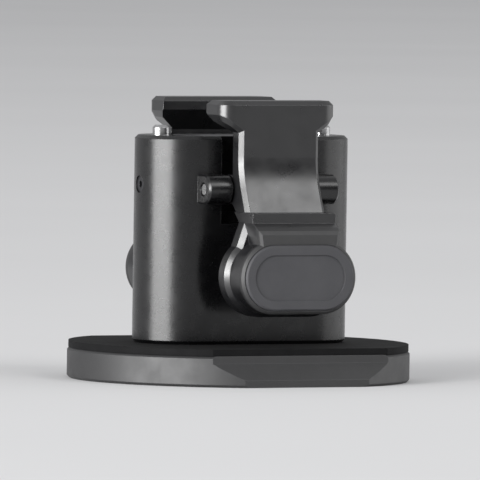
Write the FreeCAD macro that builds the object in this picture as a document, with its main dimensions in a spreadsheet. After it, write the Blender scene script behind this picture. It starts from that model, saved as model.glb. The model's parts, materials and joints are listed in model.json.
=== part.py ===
import FreeCAD, Part
import math
import os
import re

import Sketcher
from FreeCAD import Placement, Rotation, Vector

# Quick release adapter: a dovetail base plate, an upright housing, and two
# sprung levers whose claws close over a camera rail. X runs along the dovetail
# and the rail, the front lever is on the -Y side, +Z is up, and the origin is
# the middle of the plate's underside. Millimetres.

SIZES = {
    # Base plate
    "plate_diameter": 41.4,
    "plate_thick": 3.7,
    "plate_edge": 0.3,
    "dovetail_width": 38.0,
    "dovetail_land": 0.9,
    "dovetail_slope": 1.9,
    # Rubber sheet on the plate
    "grip_thick": 0.8,
    "grip_inset": 0.15,
    # Threaded bush in the plate
    "thread_radius": 2.55,
    "bush_radius": 4.2,
    "bush_flange_radius": 5.6,
    "bush_flange_thick": 1.5,
    "bush_sink": 0.2,
    "bush_edge": 0.25,
    "screw_well_radius": 3.4,
    "screw_well_depth": 4.0,
    # Screws and dowels between plate and housing
    "base_screw_radius": 1.25,
    "base_screw_head_radius": 2.35,
    "base_screw_head_height": 1.3,
    "base_screw_length": 8.0,
    "base_screw_spread_along": 8.2,
    "base_screw_spread_across": 3.4,
    "base_screw_sink": 0.15,
    "base_screw_key": 0.85,
    "base_screw_key_depth": 0.8,
    "dowel_radius": 1.2,
    "dowel_length": 7.6,
    "dowel_inset": 2.6,
    "dowel_rise": 0.5,
    # Housing
    "body_width": 27.2,
    "body_depth": 12.4,
    "body_height": 25.0,
    "body_edge": 0.4,
    "pocket_width": 11.2,
    "pocket_depth": 1.2,
    "pocket_drop": 10.5,
    "ear_width": 3.1,
    "ear_radius": 1.8,
    "ear_edge": 0.25,
    # Hinge, measured from the housing's front face and down from its top
    "hinge_standoff": 1.4,
    "hinge_drop": 6.3,
    "pivot_radius": 0.8,
    "pivot_inset": 0.1,
    "pivot_edge": 0.15,
    "barrel_gap": 0.3,
    # Lever, measured from the hinge axis, its own neck and the housing's top.
    # The neck is as wide as the hinge barrel.
    "neck_offset": 3.0,
    "neck_thick": 2.0,
    "claw_overhang": 2.35,
    "claw_corner": 1.7,
    "claw_rise": 4.4,
    "claw_height": 2.2,
    "claw_taper": 1.6,
    "hook_reach": 4.6,
    "hook_tip": 1.5,
    "hook_nose": 0.5,
    "hook_root_rise": 0.4,
    "bend_drop": 4.2,
    "bend_radius": 9.0,
    "crease_drop": 8.9,
    "slope_out": 2.0,
    "shoulder_out": 4.1,
    "shoulder_lip": 0.2,
    "shoulder_height": 1.2,
    "ramp_height": 1.0,
    "brow_tuck": 0.5,
    "brow_overlap": 1.3,
    "web_rise": 1.0,
    "claw_edge": 0.5,
    # Push button at the lever's foot, below the ramp and a short upright brow
    "brow_height": 1.1,
    "button_overhang": 2.1,
    "button_height": 8.7,
    "button_back": 0.3,
    "button_out": 5.8,
    "button_edge": 0.3,
    "skirt_lip": 0.5,
    "skirt_thick": 2.1,
    "skirt_edge": 0.6,
    "skirt_flare": 0.6,
    "skirt_flare_drop": 2.2,
    "inlay_inset": 0.4,
    "inlay_sink": 0.7,
    "inlay_proud": 0.3,
    "inlay_edge": 0.2,
    "inlay_rim": 1.2,
    "inlay_dish": 0.15,
    # Spring behind the button
    "spring_radius": 1.85,
    "spring_wire_radius": 0.24,
    "spring_turns": 6.5,
    "spring_bore_radius": 2.4,
    "spring_bore_depth": 3.0,
    "spring_cup_depth": 2.0,
    "spring_end_gap": 0.05,
    # Seat on the housing's top, measured in from the housing's ends and faces
    "seat_end_inset": 4.6,
    "seat_side_inset": 2.3,
    "seat_thick": 1.0,
    "seat_edge": 0.2,
    "seat_screw_inset": 2.0,
    "seat_screw_radius": 0.8,
    "seat_screw_head_radius": 1.4,
    "seat_screw_head_height": 0.7,
    "seat_screw_length": 4.5,
    "seat_screw_key": 0.5,
    "seat_screw_key_depth": 0.4,
    "magnet_web": 0.8,
    "magnet_wall": 0.8,
    "magnet_thick": 3.0,
    "locating_inset": 2.8,
    "locating_stem_radius": 1.3,
    "locating_radius": 1.0,
    "locating_rise": 1.2,
    "locating_depth": 7.0,
    "locating_edge": 0.3,
    "end_screw_radius": 1.0,
    "end_screw_drop": 5.9,
    "end_screw_inset": 0.2,
    "end_screw_key": 0.45,
    "end_screw_key_depth": 0.7,
    # Clearances
    "seat_gap": 0.03,
    "running_gap": 0.05,
    "cut_margin": 2.0,
}

# Formulas that several pieces share
FOOT = "(plate_thick + grip_thick)"
SEAT = "(plate_thick + grip_thick + body_height)"
FRONT = "(body_depth / 2)"
HINGE = "(body_depth / 2 + hinge_standoff)"
HINGE_UP = f"({SEAT} - hinge_drop)"
NECK = "(body_depth / 2 + hinge_standoff + neck_offset)"
CLAW_TOP = f"({SEAT} + claw_rise)"
CREASE = f"({SEAT} - crease_drop)"
RAMP_FOOT = f"({CREASE} - shoulder_height - ramp_height)"
BUTTON = f"({RAMP_FOOT} - brow_height - button_height / 2)"
BUTTON_BACK = f"({NECK} + button_back)"
BUTTON_FRONT = f"({NECK} + button_out)"
SKIRT_FRONT = f"({BUTTON_BACK} + skirt_thick)"
EAR_INNER = "(pocket_width / 2)"
EAR_OUTER = f"({EAR_INNER} + ear_width)"
NECK_HALF = f"({EAR_INNER} - barrel_gap)"
CLAW_HALF = f"({NECK_HALF} + claw_overhang)"
SHOULDER_HALF = f"({NECK_HALF} + shoulder_lip)"
BROW_HALF = f"({SHOULDER_HALF} - brow_tuck)"
BUTTON_HALF = f"({SHOULDER_HALF} + button_overhang)"
DOWEL = "(body_width / 2 - dowel_inset)"
LOCATING = "(body_width / 2 - locating_inset)"
SEAT_LENGTH = "(body_width - 2 * seat_end_inset)"
SEAT_WIDTH = "(body_depth - 2 * seat_side_inset)"
SEAT_SCREW = f"({SEAT_LENGTH} / 2 - seat_screw_inset)"
MAGNET_RADIUS = f"(({SEAT_SCREW} - seat_screw_radius - magnet_wall - magnet_web / 2) / 2)"
MAGNET = f"({MAGNET_RADIUS} + magnet_web / 2)"

UPRIGHT = Rotation()
ALONG_X = Rotation(Vector(0, 1, 0), 90)
ALONG_Y = Rotation(Vector(1, 0, 0), -90)
TURNED_OVER = Rotation(Vector(1, 0, 0), 180)
HALF_TURN = Rotation(Vector(0, 0, 1), 180)
LEFT = -1
RIGHT = 1
BOTH_ENDS = ((LEFT, "left"), (RIGHT, "right"))
BOTH_FACES = ((LEFT, "front"), (RIGHT, "rear"))
ON_FACE = 0.01
FACING = Vector(0, 0, 1)
HEX_SIDES = 6

doc = FreeCAD.newDocument("quick_release_adapter")
sheet = doc.addObject("Spreadsheet::Sheet", "Sizes")
for row, (name, value) in enumerate(SIZES.items(), start=1):
    sheet.set(f"A{row}", name)
    sheet.set(f"B{row}", str(value))
    sheet.setAlias(f"B{row}", name)
doc.recompute()


def formula(text):
    """The text with each size's name pointing at its cell."""
    cell = lambda word: f"Sizes.{word.group()}" if word.group() in SIZES else word.group()
    return re.sub(r"[a-z_]+", cell, str(text))


def number(text):
    return float(sheet.evalExpression(formula(text)))


def bind(thing, **sizes):
    for prop, text in sizes.items():
        thing.setExpression(prop, formula(text))


def place(thing, x="0", y="0", z="0", turn=UPRIGHT):
    thing.Placement = Placement(Vector(number(x), number(y), number(z)), turn)
    for axis, text in zip("xyz", (x, y, z)):
        thing.setExpression(f"Placement.Base.{axis}", formula(text))


def new_body(name):
    body = doc.addObject("PartDesign::Body", name)
    body.Label = name
    return body


def grow(body, kind, name, **sizes):
    """A feature of a body, with its sizes bound to the sheet."""
    feature = body.newObject(f"PartDesign::{kind}", f"{body.Name}_{name}")
    bind(feature, **sizes)
    return feature


def cylinder(body, kind, name, radius, height, x="0", y="0", z="0", turn=UPRIGHT):
    feature = grow(body, f"{kind}Cylinder", name, Radius=radius, Height=height)
    place(feature, x, y, z, turn)


def cone(body, kind, name, low, high, height, x="0", y="0", z="0", turn=UPRIGHT):
    feature = grow(body, f"{kind}Cone", name, Radius1=low, Radius2=high, Height=height)
    place(feature, x, y, z, turn)


def hex_key(body, name, radius, depth, x="0", y="0", z="0", turn=UPRIGHT):
    feature = grow(body, "SubtractivePrism", name, Circumradius=radius, Height=depth)
    feature.Polygon = HEX_SIDES
    place(feature, x, y, z, turn)


def new_sketch(body, name, plane, offset):
    sketch = body.newObject("Sketcher::SketchObject", f"{body.Name}_{name}")
    support = next(part for part in body.Origin.OriginFeatures if part.Role == plane)
    sketch.AttachmentSupport = [(support, "")]
    sketch.MapMode = "FlatFace"
    sketch.setExpression("AttachmentOffset.Base.z", formula(offset))
    return sketch


def pin_point(sketch, edge, end, across, up):
    """Dimension one end of an edge from the sketch's origin."""
    for kind, text in (("DistanceX", across), ("DistanceY", up)):
        index = sketch.addConstraint(Sketcher.Constraint(kind, -1, 1, edge, end, number(text)))
        sketch.setExpression(f"Constraints[{index}]", formula(text))


def polygon(body, name, plane, *loops, offset="0"):
    """A sketch of closed loops, each a list of (across, up) formulas."""
    sketch = new_sketch(body, name, plane, offset)
    for corners in loops:
        points = [Vector(number(across), number(up), 0) for across, up in corners]
        first = sketch.GeometryCount
        count = len(points)
        for at in range(count):
            sketch.addGeometry(Part.LineSegment(points[at], points[(at + 1) % count]))
        for at in range(count):
            after = first + (at + 1) % count
            sketch.addConstraint(Sketcher.Constraint("Coincident", first + at, 2, after, 1))
        for at, (across, up) in enumerate(corners):
            pin_point(sketch, first + at, 1, across, up)
    return sketch


def obround(body, name, plane, length, width, up="0", offset="0"):
    """A sketch of a long-round outline: two half circles joined by straights."""
    sketch = new_sketch(body, name, plane, offset)
    radius = number(width) / 2
    half = number(length) / 2 - radius
    middle = Vector(0, number(up), 0)
    right = middle + Vector(half, 0, 0)
    left = middle - Vector(half, 0, 0)
    side = Vector(0, radius, 0)
    turn = math.pi / 2
    sketch.addGeometry(Part.ArcOfCircle(Part.Circle(right, FACING, radius), -turn, turn))
    sketch.addGeometry(Part.LineSegment(right + side, left + side))
    sketch.addGeometry(Part.ArcOfCircle(Part.Circle(left, FACING, radius), turn, 3 * turn))
    sketch.addGeometry(Part.LineSegment(left - side, right - side))
    count = sketch.GeometryCount
    for edge in range(count):
        sketch.addConstraint(Sketcher.Constraint("Tangent", edge, 2, (edge + 1) % count, 1))
    sketch.addConstraint(Sketcher.Constraint("Equal", 0, 2))
    index = sketch.addConstraint(Sketcher.Constraint("Radius", 0, radius))
    sketch.setExpression(f"Constraints[{index}]", formula(f"({width}) / 2"))
    pin_point(sketch, 0, 3, f"(({length}) - ({width})) / 2", up)
    pin_point(sketch, 2, 3, f"-(({length}) - ({width})) / 2", up)
    return sketch


def pad(body, name, sketch, length, both_ways=False):
    feature = grow(body, "Pad", name, Length=length)
    feature.Profile = sketch
    feature.SideType = "Symmetric" if both_ways else "One side"


def pocket(body, name, sketch, length=None):
    """A pocket of a given depth against the sketch's normal, or through all."""
    feature = grow(body, "Pocket", name)
    feature.Profile = sketch
    if length:
        bind(feature, Length=length)
    else:
        feature.SideType = "Symmetric"
        feature.Type = "ThroughAll"


def dress(body, kind, size, chosen):
    """Chamfer or fillet the edges of the body so far that chosen() picks."""
    doc.recompute()
    base = body.Tip
    names = [f"Edge{at}" for at, edge in enumerate(base.Shape.Edges, 1) if chosen(edge)]
    if not names:
        raise RuntimeError(f"{body.Name}: no edge for its {kind}")
    feature = body.newObject(f"PartDesign::{kind}", f"{body.Name}_{kind}")
    feature.Base = (base, names)
    bind(feature, **{"Radius" if kind == "Fillet" else "Size": size})


def lies_at(edge, axis, value):
    """True where the whole edge is in the plane at that value of x, y or z."""
    low = getattr(edge.BoundBox, f"{axis}Min")
    high = getattr(edge.BoundBox, f"{axis}Max")
    return abs(low - value) < ON_FACE and abs(high - value) < ON_FACE


def countersunk_screw(name, x, y, top, radius, head_radius, head_height, length, key, key_depth, turn):
    """A screw whose head's flat face is at top; turned over, it points up."""
    body = new_body(name)
    cone(body, "Additive", "head", radius, head_radius, head_height, z=f"-({head_height})")
    cylinder(body, "Additive", "shank", radius, length, z=f"-({length})")
    hex_key(body, "key", key, f"{key_depth} + cut_margin", z=f"-({key_depth})")
    place(body, x, y, top, turn)


# Base plate: a puck, its two sides cut to a 45 degree dovetail
def make_base_plate():
    plate = new_body("base_plate")
    cylinder(plate, "Additive", "puck", "plate_diameter / 2", "plate_thick")
    rim = number("plate_diameter / 2")
    dress(plate, "Chamfer", "plate_edge", lambda edge: edge.BoundBox.XMax > rim - ON_FACE
          and edge.BoundBox.ZLength < ON_FACE)
    waist = "(dovetail_width / 2 - dovetail_slope)"
    flank = [
        (waist, "plate_thick + cut_margin"),
        (waist, "dovetail_land + dovetail_slope"),
        ("dovetail_width / 2", "dovetail_land"),
        ("dovetail_width / 2", "-cut_margin"),
        ("plate_diameter / 2 + cut_margin", "-cut_margin"),
        ("plate_diameter / 2 + cut_margin", "plate_thick + cut_margin"),
    ]
    other_flank = [(f"-({across})", up) for across, up in flank]
    sides = polygon(plate, "flanks", "YZ_Plane", flank, other_flank)
    pocket(plate, "dovetail", sides)
    flange_seat = "plate_thick - bush_flange_thick"
    cylinder(plate, "Subtractive", "bush_bore", "bush_radius + seat_gap", "plate_thick")
    cylinder(plate, "Subtractive", "bush_step", "bush_flange_radius + seat_gap",
             "bush_flange_thick + cut_margin", z=flange_seat)
    for at, (x, y) in enumerate(base_screw_places()):
        cylinder(plate, "Subtractive", f"screw_hole_{at}", "base_screw_radius + seat_gap",
                 "plate_thick", x, y)
        cylinder(plate, "Subtractive", f"screw_sink_{at}", "base_screw_head_radius + seat_gap",
                 "base_screw_sink", x, y)
        cone(plate, "Subtractive", f"screw_cone_{at}", "base_screw_head_radius + seat_gap",
             "base_screw_radius + seat_gap", "base_screw_head_height", x, y, "base_screw_sink")
    for side, word in BOTH_ENDS:
        cylinder(plate, "Subtractive", f"{word}_dowel_hole", "dowel_radius + seat_gap",
                 "plate_thick", f"{side} * {DOWEL}", "0", "dowel_rise")


def base_screw_places():
    along = "base_screw_spread_along"
    across = "base_screw_spread_across"
    return [(f"{i} * {along}", f"{j} * {across}") for i in (LEFT, RIGHT) for j in (LEFT, RIGHT)]


# Rubber sheet: the plate's top outline, a little smaller
def make_grip_pad():
    sheet_pad = new_body("grip_pad")
    radius = "(plate_diameter / 2 - grip_inset)"
    cylinder(sheet_pad, "Additive", "disc", radius, "grip_thick", z="plate_thick")
    near = "(dovetail_width / 2 - dovetail_slope - grip_inset)"
    far = "(plate_diameter / 2 + cut_margin)"
    low = "(plate_thick - cut_margin)"
    high = f"({FOOT} + cut_margin)"
    strip = [(near, low), (far, low), (far, high), (near, high)]
    other_strip = [(f"-({across})", up) for across, up in strip]
    pocket(sheet_pad, "flats", polygon(sheet_pad, "sides", "YZ_Plane", strip, other_strip))
    cylinder(sheet_pad, "Subtractive", "well", "screw_well_radius", "grip_thick", z="plate_thick")
    for at, (x, y) in enumerate(base_screw_places()):
        cylinder(sheet_pad, "Subtractive", f"screw_hole_{at}", "base_screw_radius + seat_gap",
                 "grip_thick", x, y, "plate_thick")
    for side, word in BOTH_ENDS:
        cylinder(sheet_pad, "Subtractive", f"{word}_dowel_hole", "dowel_radius + seat_gap",
                 "grip_thick", f"{side} * {DOWEL}", "0", "plate_thick")


# Threaded bush: its flange is held down by the rubber sheet and the housing
def make_thread_insert():
    bush = new_body("thread_insert")
    cylinder(bush, "Additive", "neck", "bush_radius", "plate_thick - bush_sink", z="bush_sink")
    cylinder(bush, "Additive", "flange", "bush_flange_radius", "bush_flange_thick",
             z="plate_thick - bush_flange_thick")
    cylinder(bush, "Subtractive", "thread", "thread_radius", "plate_thick")
    mouth = number("bush_sink")
    dress(bush, "Chamfer", "bush_edge", lambda edge: lies_at(edge, "Z", mouth))


def make_base_screws():
    for at, (x, y) in enumerate(base_screw_places(), start=1):
        countersunk_screw(f"base_screw_{at}", x, y, "base_screw_sink", "base_screw_radius",
                          "base_screw_head_radius", "base_screw_head_height", "base_screw_length",
                          "base_screw_key", "base_screw_key_depth", TURNED_OVER)


def make_dowels():
    for side, word in BOTH_ENDS:
        dowel = new_body(f"dowel_{word}")
        cylinder(dowel, "Additive", "pin", "dowel_radius", "dowel_length",
                 f"{side} * {DOWEL}", "0", "dowel_rise")


# Housing: a long-round column with a pocket and two hinge ears, front and back
def make_housing():
    body = new_body("body")
    plan = obround(body, "plan", "XY_Plane", "body_width", "body_depth", offset=FOOT)
    pad(body, "column", plan, "body_height")
    ends = (number(FOOT), number(SEAT))
    dress(body, "Chamfer", "body_edge", lambda edge: any(lies_at(edge, "Z", end) for end in ends))
    for side, word in BOTH_FACES:
        make_ears(body, side, word)
        cylinder(body, "Subtractive", f"{word}_pivot_hole", "pivot_radius + seat_gap",
                 f"2 * ({EAR_OUTER} + cut_margin)", f"-({EAR_OUTER} + cut_margin)",
                 f"{side} * {HINGE}", HINGE_UP, ALONG_X)
        bore_start = f"{FRONT} + cut_margin" if side == LEFT else f"-({FRONT} - spring_bore_depth)"
        cylinder(body, "Subtractive", f"{word}_spring_bore", "spring_bore_radius",
                 "spring_bore_depth + cut_margin", "0", f"-({bore_start})", BUTTON, ALONG_Y)
    cut_seat(body)
    cut_underside(body)


def make_ears(body, side, word):
    cylinder(body, "Additive", f"{word}_ear_round", "ear_radius", f"2 * {EAR_OUTER}",
             f"-{EAR_OUTER}", f"{side} * {HINGE}", HINGE_UP, ALONG_X)
    inner = f"{side} * ({FRONT} - pocket_depth)"
    outer = f"{side} * {HINGE}"
    web = [
        (inner, f"{HINGE_UP} - ear_radius"),
        (outer, f"{HINGE_UP} - ear_radius"),
        (outer, f"{HINGE_UP} + ear_radius"),
        (inner, f"{HINGE_UP} + ear_radius"),
    ]
    pad(body, f"{word}_ear_web", polygon(body, f"{word}_web", "YZ_Plane", web),
        f"2 * {EAR_OUTER}", both_ways=True)
    tip = number(EAR_OUTER)
    reach = number(FRONT)
    dress(body, "Chamfer", "ear_edge", lambda edge: edge.CenterOfMass.y * side > reach + ON_FACE
          and (lies_at(edge, "X", tip) or lies_at(edge, "X", -tip)))
    deep = f"{side} * ({FRONT} - pocket_depth)"
    clear = f"{side} * ({HINGE} + ear_radius + cut_margin)"
    low = f"{SEAT} - pocket_drop"
    high = f"{SEAT} + cut_margin"
    section = [(deep, low), (clear, low), (clear, high), (deep, high)]
    gap = polygon(body, f"{word}_gap", "YZ_Plane", section)
    feature = grow(body, "Pocket", f"{word}_pocket", Length="pocket_width")
    feature.Profile = gap
    feature.SideType = "Symmetric"


def cut_seat(body):
    recess = obround(body, "seat", "XY_Plane", f"{SEAT_LENGTH} + 2 * seat_gap",
                     f"{SEAT_WIDTH} + 2 * seat_gap", offset=SEAT)
    pocket(body, "seat_recess", recess, "seat_thick")
    floor = f"({SEAT} - seat_thick)"
    for side, word in BOTH_ENDS:
        cylinder(body, "Subtractive", f"{word}_magnet_bore", f"{MAGNET_RADIUS} + seat_gap",
                 "magnet_thick + cut_margin", f"{side} * {MAGNET}", "0", f"{floor} - magnet_thick")
        cylinder(body, "Subtractive", f"{word}_seat_screw_hole", "seat_screw_radius + seat_gap",
                 "seat_screw_length", f"{side} * {SEAT_SCREW}", "0",
                 f"{SEAT} - seat_screw_length - seat_gap")
        cylinder(body, "Subtractive", f"{word}_locating_hole", "locating_stem_radius + seat_gap",
                 "locating_depth + cut_margin", f"{side} * {LOCATING}", "0",
                 f"{SEAT} - locating_depth")
        start = LOCATING if side == RIGHT else "-(body_width / 2 + cut_margin)"
        cylinder(body, "Subtractive", f"{word}_end_screw_hole", "end_screw_radius + seat_gap",
                 "locating_inset + cut_margin", start, "0", f"{SEAT} - end_screw_drop", ALONG_X)


def cut_underside(body):
    cylinder(body, "Subtractive", "screw_well", "screw_well_radius", "screw_well_depth", z=FOOT)
    for at, (x, y) in enumerate(base_screw_places()):
        cylinder(body, "Subtractive", f"screw_hole_{at}", "base_screw_radius + seat_gap",
                 f"base_screw_sink + base_screw_length - {FOOT} + seat_gap", x, y, FOOT)
    for side, word in BOTH_ENDS:
        cylinder(body, "Subtractive", f"{word}_dowel_hole", "dowel_radius + seat_gap",
                 f"dowel_rise + dowel_length - {FOOT} + seat_gap", f"{side} * {DOWEL}", "0", FOOT)


# Lever: its side view padded across, then trimmed to its front view, with the
# hinge barrel, the skirt and the push button added. The rear lever is the same,
# turned.
def make_lever(name, turn):
    lever = new_body(name)
    shoulder_low = f"({CREASE} - shoulder_height)"
    nose = f"-({NECK} - hook_reach)"
    side_view = [
        (f"-{NECK}", CLAW_TOP),
        (f"-{NECK}", f"{SEAT} - bend_drop"),
        (f"-({NECK} + slope_out)", CREASE),
        (f"-({NECK} + shoulder_out)", CREASE),
        (f"-({NECK} + shoulder_out)", shoulder_low),
        (f"-{BUTTON_FRONT}", RAMP_FOOT),
        (f"-{BUTTON_FRONT}", BUTTON),
        (f"-{BUTTON_BACK}", BUTTON),
        (f"-{BUTTON_BACK}", shoulder_low),
        (f"-({NECK} - neck_thick)", f"{CREASE} + web_rise"),
        (f"-({NECK} - neck_thick)", f"{SEAT} + hook_root_rise"),
        (nose, f"{CLAW_TOP} - hook_tip"),
        (nose, f"{CLAW_TOP} - hook_nose"),
        (f"{nose} - hook_nose", CLAW_TOP),
    ]
    pad(lever, "blank", polygon(lever, "side_view", "YZ_Plane", side_view), f"2 * {CLAW_HALF}",
        both_ways=True)
    trim_lever(lever, shoulder_low)
    bend = number(f"{SEAT} - bend_drop")
    dress(lever, "Fillet", "bend_radius", lambda edge: lies_at(edge, "Z", bend))
    end = number(CLAW_HALF)
    neck = -number(NECK)
    dress(lever, "Fillet", "claw_corner", lambda edge: lies_at(edge, "Y", neck)
          and (lies_at(edge, "X", end) or lies_at(edge, "X", -end)))
    top = number(CLAW_TOP)
    tip = number(f"{nose} - hook_nose")
    dress(lever, "Chamfer", "claw_edge", lambda edge:
          (lies_at(edge, "Z", top) and not lies_at(edge, "Y", tip))
          or (lies_at(edge, "Y", neck) and edge.BoundBox.ZLength > ON_FACE))
    cylinder(lever, "Additive", "barrel", "ear_radius", f"2 * {NECK_HALF}", f"-{NECK_HALF}",
             f"-{HINGE}", HINGE_UP, ALONG_X)
    make_skirt(lever, shoulder_low)
    block = obround(lever, "button", "XZ_Plane", f"2 * {BUTTON_HALF}", "button_height", up=BUTTON,
                    offset=BUTTON_BACK)
    pad(lever, "button_block", block, "button_out - button_back")
    face = -number(BUTTON_FRONT)
    dress(lever, "Chamfer", "button_edge", lambda edge: lies_at(edge, "Y", face))
    well = obround(lever, "inlay", "XZ_Plane", f"2 * ({BUTTON_HALF} - inlay_inset)",
                   "button_height - 2 * inlay_inset", up=BUTTON, offset=BUTTON_FRONT)
    pocket(lever, "inlay_well", well, "inlay_sink")
    cylinder(lever, "Subtractive", "pivot_hole", "pivot_radius + running_gap", f"2 * {EAR_OUTER}",
             f"-{EAR_OUTER}", f"-{HINGE}", HINGE_UP, ALONG_X)
    cylinder(lever, "Subtractive", "spring_cup", "spring_bore_radius", "spring_cup_depth + button_back",
             "0", f"-({BUTTON_BACK} + spring_cup_depth)", BUTTON, ALONG_Y)
    lever.Placement = Placement(Vector(), turn)


def make_skirt(lever, shoulder_low):
    """A wider, bevelled plate behind the button, which narrows to the shoulder."""
    tip = f"({BUTTON_HALF} - skirt_flare)"
    low = f"({BUTTON} + skirt_flare_drop)"
    corners = [
        (f"-{SHOULDER_HALF}", shoulder_low),
        (SHOULDER_HALF, shoulder_low),
        (tip, low),
        (f"-{tip}", low),
    ]
    flare = polygon(lever, "flare", "XZ_Plane", corners, offset=BUTTON_BACK)
    pad(lever, "skirt_flare", flare, "skirt_thick")
    plate = obround(lever, "skirt", "XZ_Plane", f"2 * ({BUTTON_HALF} + skirt_lip)",
                    "button_height + 2 * skirt_lip", up=BUTTON, offset=BUTTON_BACK)
    pad(lever, "skirt_plate", plate, "skirt_thick")
    face = -number(SKIRT_FRONT)
    middle = number(BUTTON)
    side = number(SHOULDER_HALF)
    dress(lever, "Chamfer", "skirt_edge", lambda edge: lies_at(edge, "Y", face)
          and (edge.CenterOfMass.z < middle or abs(edge.CenterOfMass.x) > side))


def trim_lever(lever, shoulder_low):
    """Take away all that lies outside the front view."""
    claw_low = f"({CLAW_TOP} - claw_height)"
    half_view = [
        (CLAW_HALF, f"{CLAW_TOP} + cut_margin"),
        (CLAW_HALF, claw_low),
        (NECK_HALF, f"{claw_low} - claw_taper"),
        (NECK_HALF, CREASE),
        (SHOULDER_HALF, CREASE),
        (SHOULDER_HALF, shoulder_low),
        (BROW_HALF, f"{BUTTON} + button_height / 2 - brow_overlap"),
        (BROW_HALF, f"{BUTTON} - cut_margin"),
    ]
    front_view = half_view + [(f"-({across})", up) for across, up in reversed(half_view)]
    far = f"({CLAW_HALF} + cut_margin)"
    low = f"({BUTTON} - 2 * cut_margin)"
    high = f"({CLAW_TOP} + 2 * cut_margin)"
    frame = [(f"-{far}", low), (far, low), (far, high), (f"-{far}", high)]
    pocket(lever, "trim", polygon(lever, "front_view", "XZ_Plane", frame, front_view))


def make_inlay(name, turn):
    """The button's finger pad: a slab with a raised rim around a shallow dish."""
    inlay = new_body(name)
    margin = "(inlay_inset + seat_gap)"
    outline = obround(inlay, "outline", "XZ_Plane", f"2 * ({BUTTON_HALF} - {margin})",
                      f"button_height - 2 * {margin}", up=BUTTON, offset=f"{BUTTON_FRONT} - inlay_sink")
    pad(inlay, "slab", outline, "inlay_sink + inlay_proud")
    face = f"({BUTTON_FRONT} + inlay_proud)"
    dress(inlay, "Chamfer", "inlay_edge", lambda edge: lies_at(edge, "Y", -number(face)))
    border = f"({margin} + inlay_rim)"
    field = obround(inlay, "field", "XZ_Plane", f"2 * ({BUTTON_HALF} - {border})",
                    f"button_height - 2 * {border}", up=BUTTON, offset=face)
    pocket(inlay, "dish", field, "inlay_dish")
    inlay.Placement = Placement(Vector(), turn)


def make_pivot(name, turn):
    pivot = new_body(name)
    reach = f"({EAR_OUTER} - pivot_inset)"
    cylinder(pivot, "Additive", "pin", "pivot_radius", f"2 * {reach}", f"-{reach}", f"-{HINGE}",
             HINGE_UP, ALONG_X)
    tip = number(reach)
    dress(pivot, "Chamfer", "pivot_edge", lambda edge: lies_at(edge, "X", tip) or lies_at(edge, "X", -tip))
    pivot.Placement = Placement(Vector(), turn)


# Spring: round wire wound on a straight helix from the cup in the button to the
# housing's bore
def make_spring(name, turn):
    spring = new_body(name)
    end = "(spring_wire_radius + spring_end_gap)"
    start = f"-({BUTTON_BACK} + spring_cup_depth - {end})"
    wire = new_sketch(spring, "wire", "XY_Plane", BUTTON)
    middle = Vector(number("spring_radius"), number(start), 0)
    wire.addGeometry(Part.Circle(middle, FACING, number("spring_wire_radius")))
    index = wire.addConstraint(Sketcher.Constraint("Radius", 0, number("spring_wire_radius")))
    wire.setExpression(f"Constraints[{index}]", formula("spring_wire_radius"))
    pin_point(wire, 0, 3, "spring_radius", start)
    length = f"{BUTTON_BACK} + spring_cup_depth - {FRONT} + spring_bore_depth - 2 * {end}"
    coil = grow(spring, "AdditiveHelix", "coil", Height=length, Turns="spring_turns")
    coil.Profile = wire
    coil.ReferenceAxis = (wire, ["V_Axis"])
    coil.Mode = "height-turns-angle"
    spring.Placement = Placement(Vector(), turn)


# Seat: a thin steel plate let into the housing's top, with magnets under it
def make_seat_plate():
    plate = new_body("seat_plate")
    outline = obround(plate, "outline", "XY_Plane", SEAT_LENGTH, SEAT_WIDTH,
                      offset=f"{SEAT} - seat_thick")
    pad(plate, "slab", outline, "seat_thick")
    top = number(SEAT)
    dress(plate, "Chamfer", "seat_edge", lambda edge: lies_at(edge, "Z", top))
    for side, word in BOTH_ENDS:
        x = f"{side} * {SEAT_SCREW}"
        cylinder(plate, "Subtractive", f"{word}_hole", "seat_screw_radius + seat_gap",
                 "seat_thick", x, "0", f"{SEAT} - seat_thick")
        cone(plate, "Subtractive", f"{word}_sink", "seat_screw_radius + seat_gap",
             "seat_screw_head_radius + seat_gap", "seat_screw_head_height", x, "0",
             f"{SEAT} - seat_screw_head_height")


def make_seat_pieces():
    for side, word in BOTH_ENDS:
        countersunk_screw(f"seat_screw_{word}", f"{side} * {SEAT_SCREW}", "0", SEAT,
                          "seat_screw_radius", "seat_screw_head_radius", "seat_screw_head_height",
                          "seat_screw_length", "seat_screw_key", "seat_screw_key_depth", UPRIGHT)
        magnet = new_body(f"magnet_{word}")
        cylinder(magnet, "Additive", "disc", MAGNET_RADIUS, "magnet_thick",
                 f"{side} * {MAGNET}", "0", f"{SEAT} - seat_thick - magnet_thick")
        make_locating_pin(f"locating_pin_{word}", f"{side} * {LOCATING}")
        make_end_screw(f"end_screw_{word}", side)


def make_locating_pin(name, x):
    """A stepped pin: a stem let into the housing and a thinner nose above it."""
    pin = new_body(name)
    cylinder(pin, "Additive", "stem", "locating_stem_radius", "locating_depth", x, "0",
             f"{SEAT} - locating_depth")
    cylinder(pin, "Additive", "nose", "locating_radius", "locating_rise", x, "0", SEAT)
    tip = number(f"{SEAT} + locating_rise")
    dress(pin, "Chamfer", "locating_edge", lambda edge: lies_at(edge, "Z", tip))


def make_end_screw(name, side):
    """A grub screw in the housing's end that holds a locating pin."""
    screw = new_body(name)
    tip = f"({LOCATING} + locating_stem_radius + seat_gap)"
    face = "(body_width / 2 - end_screw_inset)"
    cylinder(screw, "Additive", "stem", "end_screw_radius", f"{face} - {tip}", tip, "0", "0", ALONG_X)
    hex_key(screw, "key", "end_screw_key", "end_screw_key_depth + cut_margin",
            f"{face} - end_screw_key_depth", "0", "0", ALONG_X)
    place(screw, "0", "0", f"{SEAT} - end_screw_drop", UPRIGHT if side == RIGHT else HALF_TURN)


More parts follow.
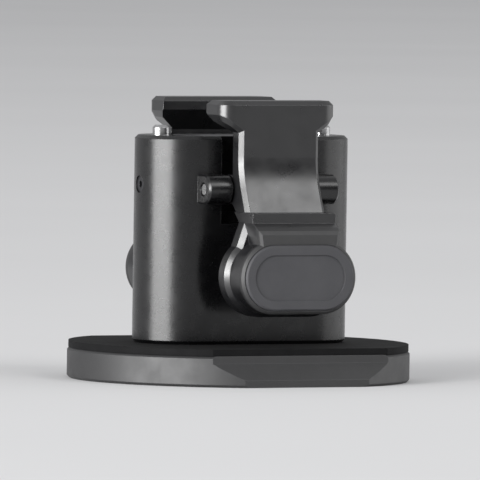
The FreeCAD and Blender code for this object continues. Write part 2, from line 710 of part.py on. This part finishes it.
def check_and_write():
    """Stop on any failed object or shape, then write one file per sub-part."""
    doc.recompute()
    for thing in doc.Objects:
        if "Invalid" in thing.State or "Error" in thing.State:
            raise RuntimeError(f"{thing.Name} failed: {thing.State}")
    bodies = [thing for thing in doc.Objects if thing.TypeId == "PartDesign::Body"]
    for body in bodies:
        if body.Shape.isNull() or not body.Shape.isValid() or len(body.Shape.Solids) != 1:
            raise RuntimeError(f"{body.Label} is not one valid solid")
    os.makedirs("parts", exist_ok=True)
    for body in bodies:
        body.Shape.exportStep(f"parts/{body.Label}.step")
        print(body.Label, round(body.Shape.Volume, 2))


make_base_plate()
make_grip_pad()
make_thread_insert()
make_base_screws()
make_dowels()
make_housing()
make_seat_plate()
make_seat_pieces()
for word, turn in (("front", UPRIGHT), ("rear", HALF_TURN)):
    make_lever(f"{word}_lever", turn)
    make_inlay(f"{word}_button_pad", turn)
    make_pivot(f"{word}_pivot_pin", turn)
    make_spring(f"{word}_spring", turn)
check_and_write()
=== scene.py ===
import json
import math

import bpy
from mathutils import Matrix, Vector


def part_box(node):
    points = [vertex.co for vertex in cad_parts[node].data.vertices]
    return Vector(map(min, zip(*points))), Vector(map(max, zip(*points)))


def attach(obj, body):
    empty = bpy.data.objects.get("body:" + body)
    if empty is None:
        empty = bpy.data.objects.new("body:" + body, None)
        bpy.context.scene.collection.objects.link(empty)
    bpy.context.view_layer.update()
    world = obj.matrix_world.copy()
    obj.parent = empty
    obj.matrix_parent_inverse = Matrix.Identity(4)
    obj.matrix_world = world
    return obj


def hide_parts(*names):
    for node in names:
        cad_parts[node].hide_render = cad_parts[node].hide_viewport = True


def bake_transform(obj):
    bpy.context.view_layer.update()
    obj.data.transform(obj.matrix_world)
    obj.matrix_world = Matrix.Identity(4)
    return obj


# Quick release adapter: finishes, return springs, bush thread, floor, light and camera.
# Metres, in the row frame: X along the rail, the front claw at -Y.

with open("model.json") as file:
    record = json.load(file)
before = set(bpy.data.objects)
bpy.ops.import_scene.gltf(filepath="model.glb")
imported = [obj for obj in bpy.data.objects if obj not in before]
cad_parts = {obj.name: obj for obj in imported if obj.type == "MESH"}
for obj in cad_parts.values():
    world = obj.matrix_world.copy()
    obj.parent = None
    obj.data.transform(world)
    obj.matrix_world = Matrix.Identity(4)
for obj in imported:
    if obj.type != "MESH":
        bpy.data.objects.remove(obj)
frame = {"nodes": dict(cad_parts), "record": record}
NODES = frame["nodes"]


# Node helpers

def add(tree, kind, **values):
    """A node of that kind, with its properties or inputs set by name."""
    made = tree.nodes.new(f"ShaderNode{kind}")
    for key, value in values.items():
        if hasattr(made, key):
            setattr(made, key, value)
        else:
            made.inputs[key.replace("_", " ")].default_value = value
    return made


def noise(tree, where, scale, detail=2.0, stretch=(1, 1, 1)):
    """Noise in the object's own metres, so its grain keeps its real size."""
    mapping = add(tree, "Mapping")
    mapping.inputs["Scale"].default_value = stretch
    tree.links.new(where, mapping.inputs["Vector"])
    made = add(tree, "TexNoise", Scale=scale, Detail=detail, Roughness=0.55)
    tree.links.new(mapping.outputs["Vector"], made.inputs["Vector"])
    return made.outputs["Fac"]


def spread(tree, source, low, high, from_low=0.3, from_high=0.7):
    """The source's range from_low..from_high, by default a noise's usual one, mapped to low..high."""
    made = add(tree, "MapRange")
    for name, value in (("From Min", from_low), ("From Max", from_high), ("To Min", low), ("To Max", high)):
        made.inputs[name].default_value = value
    tree.links.new(source, made.inputs["Value"])
    return made.outputs["Result"]


def blend_colours(tree, factor, one, two):
    """A mix of two colours, each a socket or three numbers."""
    made = add(tree, "Mix", data_type="RGBA")
    tree.links.new(factor, made.inputs[0])
    for socket, colour in ((made.inputs[6], one), (made.inputs[7], two)):
        if isinstance(colour, bpy.types.NodeSocket):
            tree.links.new(colour, socket)
        else:
            socket.default_value = (*colour, 1)
    return made.outputs[2]


# Finishes

PATCHES = 300
SHEEN_FINER = 1.7
ROUGH_SPREAD = 0.05
MATT_EXTRA = 0.3
MATT_FADE = 2e-4
# Lighter edges: partly wear, partly a painted highlight along the edges.
WEAR_AND_HIGHLIGHT_MOST = 0.55
WEAR_AND_HIGHLIGHT_FROM, WEAR_AND_HIGHLIGHT_TO = 0.80, 0.98
WEAR_AND_HIGHLIGHT_PATCHES = 1400
WEAR_AND_HIGHLIGHT_LEAST = 0.1


def matt_front(tree, where, roughness, matt_from):
    """The roughness, raised where the object's Y is matt_from or more from its middle."""
    place = add(tree, "SeparateXYZ")
    tree.links.new(where, place.inputs["Vector"])
    depth = add(tree, "Math", operation="ABSOLUTE")
    tree.links.new(place.outputs["Y"], depth.inputs[0])
    matt = add(tree, "Math", operation="MULTIPLY_ADD")
    share = spread(tree, depth.outputs["Value"], 0, 1, matt_from - MATT_FADE, matt_from)
    tree.links.new(share, matt.inputs[0])
    matt.inputs[1].default_value = MATT_EXTRA
    tree.links.new(roughness, matt.inputs[2])
    return matt.outputs["Value"]


def worn_and_highlit_edges(tree, where, tone, rounded, edge_wear_and_highlight):
    """The tone, lightened in patches towards the edge tone where the rounded normal leaves the plain one:
    partly wear, partly a painted highlight on the edges.
    """
    plain = add(tree, "NewGeometry").outputs["Normal"]
    dot = add(tree, "VectorMath", operation="DOT_PRODUCT")
    tree.links.new(plain, dot.inputs[0])
    tree.links.new(rounded, dot.inputs[1])
    wear_and_highlight_share = spread(tree, dot.outputs["Value"], WEAR_AND_HIGHLIGHT_MOST, 0.0, WEAR_AND_HIGHLIGHT_FROM, WEAR_AND_HIGHLIGHT_TO)
    patchy_wear_and_highlight = add(tree, "Math", operation="MULTIPLY")
    tree.links.new(wear_and_highlight_share, patchy_wear_and_highlight.inputs[0])
    tree.links.new(spread(tree, noise(tree, where, WEAR_AND_HIGHLIGHT_PATCHES, 3.0), WEAR_AND_HIGHLIGHT_LEAST, 1.0), patchy_wear_and_highlight.inputs[1])
    return blend_colours(tree, patchy_wear_and_highlight.outputs["Value"], tone, edge_wear_and_highlight)


def finish(slot, colour, other, rough, metallic=0.0, ior=1.5, grain=9000, bump=2e-6, stretch=(1, 1, 1),
           edge=9e-5, edge_wear_and_highlight=None, matt_from=None):
    """A finish for one slot: two close tones, an uneven sheen, fine grain, edges that catch light, and
    lighter edges that are partly wear, partly a painted highlight.
    """
    made = bpy.data.materials.new(f"mat_{slot}")
    made.use_nodes = True
    tree = made.node_tree
    shader = tree.nodes["Principled BSDF"]
    shader.inputs["Metallic"].default_value = metallic
    shader.inputs["IOR"].default_value = ior
    where = add(tree, "TexCoord").outputs["Object"]
    tone = blend_colours(tree, spread(tree, noise(tree, where, PATCHES, 4.0, stretch), 0, 1), colour, other)
    sheen = noise(tree, where, PATCHES * SHEEN_FINER, 5.0, stretch)
    roughness = spread(tree, sheen, rough - ROUGH_SPREAD, rough + ROUGH_SPREAD)
    if matt_from:
        roughness = matt_front(tree, where, roughness, matt_from)
    tree.links.new(roughness, shader.inputs["Roughness"])
    rounded = add(tree, "Bevel", samples=6, Radius=edge).outputs["Normal"]
    # Lighter edge tone: partly wear, partly a painted highlight.
    if edge_wear_and_highlight:
        tone = worn_and_highlit_edges(tree, where, tone, rounded, edge_wear_and_highlight)
    tree.links.new(tone, shader.inputs["Base Color"])
    relief = add(tree, "Bump", Strength=1.0, Distance=bump)
    tree.links.new(noise(tree, where, grain, 3.0, stretch), relief.inputs["Height"])
    tree.links.new(rounded, relief.inputs["Normal"])
    tree.links.new(relief.outputs["Normal"], shader.inputs["Normal"])
    return made


# The levers turn matt from here on, at the front edge of their buttons
BUTTON_FRONT_Y = 0.0156
BRUSHED_ALONG_X = (0.04, 1, 1)
DRAWN_ALONG_Z = (1, 1, 0.1)

# The edge tones below lighten the edges: partly wear, partly a painted highlight.
FINISHES = {
    "housing_black": finish("housing_black", (0.0025, 0.0025, 0.0029), (0.004, 0.004, 0.0045), 0.28,
                            ior=1.6, edge_wear_and_highlight=(0.04, 0.04, 0.045)),
    "plate_black": finish("plate_black", (0.008, 0.008, 0.009), (0.011, 0.011, 0.012), 0.55,
                          ior=1.8, edge_wear_and_highlight=(0.06, 0.06, 0.065)),
    "lever_black": finish("lever_black", (0.005, 0.005, 0.0057), (0.007, 0.007, 0.0079), 0.31,
                          ior=1.82, edge_wear_and_highlight=(0.10, 0.10, 0.11), matt_from=BUTTON_FRONT_Y),
    "button_inlay": finish("button_inlay", (0.054, 0.054, 0.059), (0.064, 0.064, 0.069), 0.6,
                           ior=1.45, grain=5200, bump=1.0e-5, edge=1.4e-4),
    "grip_rubber": finish("grip_rubber", (0.003, 0.003, 0.0034), (0.005, 0.005, 0.0055), 0.8,
                          ior=1.3, grain=3600, bump=1.6e-5, edge=6e-5),
    "steel": finish("steel", (0.5, 0.5, 0.5), (0.42, 0.42, 0.43), 0.27,
                    metallic=1.0, grain=12000, bump=1e-6, stretch=DRAWN_ALONG_Z),
    "black_steel": finish("black_steel", (0.03, 0.03, 0.033), (0.045, 0.045, 0.05), 0.34,
                          metallic=0.6, edge_wear_and_highlight=(0.2, 0.2, 0.2)),
    "spring_steel": finish("spring_steel", (0.42, 0.42, 0.42), (0.34, 0.34, 0.35), 0.26,
                           metallic=1.0, edge=2e-5),
    "seat_steel": finish("seat_steel", (0.36, 0.36, 0.37), (0.27, 0.27, 0.28), 0.33,
                         metallic=1.0, grain=16000, bump=2.4e-6, stretch=BRUSHED_ALONG_X),
    "magnet_nickel": finish("magnet_nickel", (0.62, 0.6, 0.57), (0.55, 0.53, 0.5), 0.16, metallic=1.0),
}

SLOTS = {part["node"]: part["material_slot"] for part in frame["record"]["subparts"]}
for name, node in NODES.items():
    node.data.materials.clear()
    node.data.materials.append(FINISHES[SLOTS[name]])


# Mesh helpers

def skin(rows, around, looped):
    """Quads between rows of points that go round. A looped skin joins the last row to the first too."""
    faces = []
    for row in range(rows if looped else rows - 1):
        below = (row + 1) % rows
        for k in range(around):
            after = (k + 1) % around
            faces.append((row * around + k, row * around + after,
                          below * around + after, below * around + k))
    return faces


def mesh_object(name, verts, faces, material, is_smooth=None):
    """A mesh object with one material. is_smooth says which faces are shaded smooth."""
    mesh = bpy.data.meshes.new(name)
    mesh.from_pydata(verts, [], faces)
    mesh.update()
    if is_smooth:
        for face in mesh.polygons:
            face.use_smooth = is_smooth(face)
    made = bpy.data.objects.new(name, mesh)
    bpy.context.scene.collection.objects.link(made)
    made.data.materials.append(material)
    return made


# Return springs: a wound wire with closed ends.

SPRING_RADIUS = 0.00185
WIRE_RADIUS = 0.00024
TURNS = 6.5
CLOSED_TURNS = 0.9
RING = 12
STEPS = 36


def coil(first, run, axis_z):
    """The wire's middle line along Y, run long from Y = first on, with a closed part at each end."""
    total = TURNS + 2 * CLOSED_TURNS
    count = int(total * STEPS)
    closed = 2 * WIRE_RADIUS * CLOSED_TURNS
    points = []
    for at in range(count + 1):
        turn = total * at / count
        if turn < CLOSED_TURNS:
            along = 2 * WIRE_RADIUS * turn
        elif turn > total - CLOSED_TURNS:
            along = run - 2 * WIRE_RADIUS * (total - turn)
        else:
            along = closed + (run - 2 * closed) * (turn - CLOSED_TURNS) / TURNS
        angle = 2 * math.pi * turn
        points.append(Vector((SPRING_RADIUS * math.cos(angle), first + along,
                              axis_z + SPRING_RADIUS * math.sin(angle))))
    return points


def wire_rings(points, axis_z):
    """A ring of points about each point of the wire's middle line."""
    last = len(points) - 1
    verts = []
    for at, point in enumerate(points):
        ahead = points[min(at + 1, last)] - points[max(at - 1, 0)]
        ahead.normalize()
        out = Vector((point.x, 0, point.z - axis_z)).normalized()
        up = ahead.cross(out).normalized()
        for corner in range(RING):
            turn = 2 * math.pi * corner / RING
            verts.append(tuple(point + (out * math.cos(turn) + up * math.sin(turn)) * WIRE_RADIUS))
    return verts


def spring_mesh(name):
    """A return spring in its CAD solid's box."""
    low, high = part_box(name)
    axis_z = (low.z + high.z) / 2
    first = low.y + WIRE_RADIUS
    last = high.y - WIRE_RADIUS
    points = coil(first, last - first, axis_z)
    faces = skin(len(points), RING, looped=False)
    faces.append(tuple(reversed(range(RING))))
    faces.append(tuple((len(points) - 1) * RING + corner for corner in range(RING)))
    made = mesh_object(f"wound_{name}", wire_rings(points, axis_z), faces, FINISHES["spring_steel"],
                       is_smooth=lambda face: len(face.vertices) == 4)
    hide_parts(name)
    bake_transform(made)


spring_mesh("front_spring")
spring_mesh("rear_spring")


# Threaded bush: the CAD solid's outline, with the 1/4 inch thread cut in its bore

BUSH_LOW, BUSH_STEP, BUSH_HIGH = 0.0002, 0.0022, 0.0037
BUSH_EDGE_Z = 0.00045
BUSH_FOOT_RADIUS, BUSH_NECK_RADIUS, BUSH_HEAD_RADIUS = 0.00395, 0.0042, 0.0056
BUSH_OUTLINE = (
    (BUSH_FOOT_RADIUS, BUSH_LOW),
    (BUSH_NECK_RADIUS, BUSH_EDGE_Z),
    (BUSH_NECK_RADIUS, BUSH_STEP),
    (BUSH_HEAD_RADIUS, BUSH_STEP),
    (BUSH_HEAD_RADIUS, BUSH_HIGH),
)
CORE, THREAD_DEPTH, PITCH, LEAD_IN = 0.00255, 0.0005, 0.00127, 0.00318
CREST, FLANK = 0.16, 0.66
AROUND, UPWARD = 72, 56


def thread_radius(angle, z):
    """The bore's radius there: a 60 degree thread between two lead-in chamfers."""
    phase = (z / PITCH - angle / (2 * math.pi)) % 1
    ridge = abs(phase - 0.5) * 2
    groove = min(max((ridge - CREST) / FLANK, 0), 1)
    nearest_end = min(z - BUSH_LOW, BUSH_HIGH - z)
    return max(CORE + THREAD_DEPTH * groove, LEAD_IN - nearest_end)


def bush_mesh():
    """The bore from the top down, then the outside back up, as one looped skin."""
    rows = []
    for at in range(UPWARD + 1):
        z = BUSH_HIGH + (BUSH_LOW - BUSH_HIGH) * at / UPWARD
        rows.append([(thread_radius(2 * math.pi * k / AROUND, z), z) for k in range(AROUND)])
    for radius, z in BUSH_OUTLINE:
        rows.append([(radius, z)] * AROUND)
    verts = []
    for row in rows:
        for k, (radius, z) in enumerate(row):
            angle = 2 * math.pi * k / AROUND
            verts.append((radius * math.cos(angle), radius * math.sin(angle), z))
    made = mesh_object("bush_thread", verts, skin(len(rows), AROUND, looped=True), FINISHES["steel"],
                       is_smooth=lambda face: face.index < UPWARD * AROUND)
    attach(made, "housing")
    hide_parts("thread_insert")


bush_mesh()


# Floor: a plain pale sheet that runs out past the picture, fully matt

FLOOR_HALF = 12.0
FLOOR_PATCHES = 6.0
FLOOR_TONES = (0.72, 0.72, 0.725), (0.74, 0.74, 0.745)

floor_finish = bpy.data.materials.new("mat_floor")
floor_finish.use_nodes = True
floor_tree = floor_finish.node_tree
floor_shader = floor_tree.nodes["Principled BSDF"]
floor_shader.inputs["Roughness"].default_value = 1.0
floor_shader.inputs["Specular IOR Level"].default_value = 0.0
floor_where = add(floor_tree, "TexCoord").outputs["Object"]
floor_mix = spread(floor_tree, noise(floor_tree, floor_where, FLOOR_PATCHES), 0, 1)
floor_tone = blend_colours(floor_tree, floor_mix, *FLOOR_TONES)
floor_tree.links.new(floor_tone, floor_shader.inputs["Base Color"])
corners = [(x * FLOOR_HALF, y * FLOOR_HALF, 0) for x, y in ((-1, -1), (1, -1), (1, 1), (-1, 1))]
floor = mesh_object("floor", corners, [(0, 1, 2, 3)], floor_finish)


# World: even soft light, stronger overhead and behind the object

SKY_COLOUR = (0.98, 0.985, 1.0, 1)
SKY_LEAST = 0.05
OVERHEAD_LEVEL, OVERHEAD_FROM, OVERHEAD_TO = 0.5, 0.3, 0.8
BEHIND_LEVEL, BEHIND_FROM, BEHIND_TO = 0.3, 0.0, 0.6

world = bpy.data.worlds.new("room")
bpy.context.scene.world = world
world.use_nodes = True
sky = world.node_tree
direction = add(sky, "SeparateXYZ")
sky.links.new(add(sky, "TexCoord").outputs["Generated"], direction.inputs["Vector"])
overhead = spread(sky, direction.outputs["Z"], 0.0, OVERHEAD_LEVEL, OVERHEAD_FROM, OVERHEAD_TO)
behind = spread(sky, direction.outputs["Y"], 0.0, BEHIND_LEVEL, BEHIND_FROM, BEHIND_TO)
both = add(sky, "Math", operation="ADD")
sky.links.new(overhead, both.inputs[0])
sky.links.new(behind, both.inputs[1])
level = add(sky, "Math", operation="ADD")
level.inputs[1].default_value = SKY_LEAST
sky.links.new(both.outputs["Value"], level.inputs[0])
sky.links.new(level.outputs["Value"], sky.nodes["Background"].inputs["Strength"])
sky.nodes["Background"].inputs["Color"].default_value = SKY_COLOUR


def direction_to(azimuth, elevation):
    """The direction from the object to a place. Azimuth is from -Y, positive to the right, in degrees."""
    across, up = math.radians(azimuth), math.radians(elevation)
    return Vector((math.sin(across) * math.cos(up), -math.cos(across) * math.cos(up), math.sin(up)))


# Lamps: a low bright strip at the left, a smaller box above it, and dim boxes at the right and overhead.
# Each has its azimuth, elevation, width, height and radiance.

LAMP_DISTANCE = 2.6
LAMP_AIM = Vector((0, 0, 0.017))
ENERGY_PER_RADIANCE = 4
SOFT_BOXES = {
    "box_left": (-80, 4.6, 2.25, 0.42, 20.0),
    "box_corner": (-62, 21, 0.95, 1.0, 9.0),
    "box_right": (75, 12, 3.0, 1.1, 1.8),
    "box_top": (30, 37, 1.95, 0.87, 2.5),
}

for name, (azimuth, elevation, wide, tall, radiance) in SOFT_BOXES.items():
    away = direction_to(azimuth, elevation)
    lamp = bpy.data.lights.new(name, "AREA")
    lamp.shape = "RECTANGLE"
    lamp.size = wide
    lamp.size_y = tall
    lamp.energy = ENERGY_PER_RADIANCE * wide * tall * radiance
    made = bpy.data.objects.new(name, lamp)
    bpy.context.scene.collection.objects.link(made)
    made.location = LAMP_AIM + away * LAMP_DISTANCE
    made.rotation_euler = (-away).to_track_quat("-Z", "Y").to_euler()


# Camera: the photograph's angle, with a long lens so that the adapter fills the frame

AIM = Vector((0.0, 0.0, 0.0168))
AZIMUTH, ELEVATION, ROLL = -26.0, 2.3, 0.85
DISTANCE = 1.32
LENS_MM = 820
SENSOR_MM = 36
CLIP_NEAR, CLIP_FAR = 0.1, 40

back = direction_to(AZIMUTH, ELEVATION)
lens = bpy.data.cameras.new("camera")
lens.lens = LENS_MM
lens.sensor_width = SENSOR_MM
lens.clip_start = CLIP_NEAR
lens.clip_end = CLIP_FAR
camera = bpy.data.objects.new("camera", lens)
bpy.context.scene.collection.objects.link(camera)
camera.location = AIM + back * DISTANCE
look = (-back).to_track_quat("-Z", "Y").to_matrix().to_4x4()
camera.rotation_euler = (look @ Matrix.Rotation(math.radians(ROLL), 4, "Z")).to_euler()
bpy.context.scene.camera = camera

bpy.context.scene.view_settings.view_transform = "Standard"
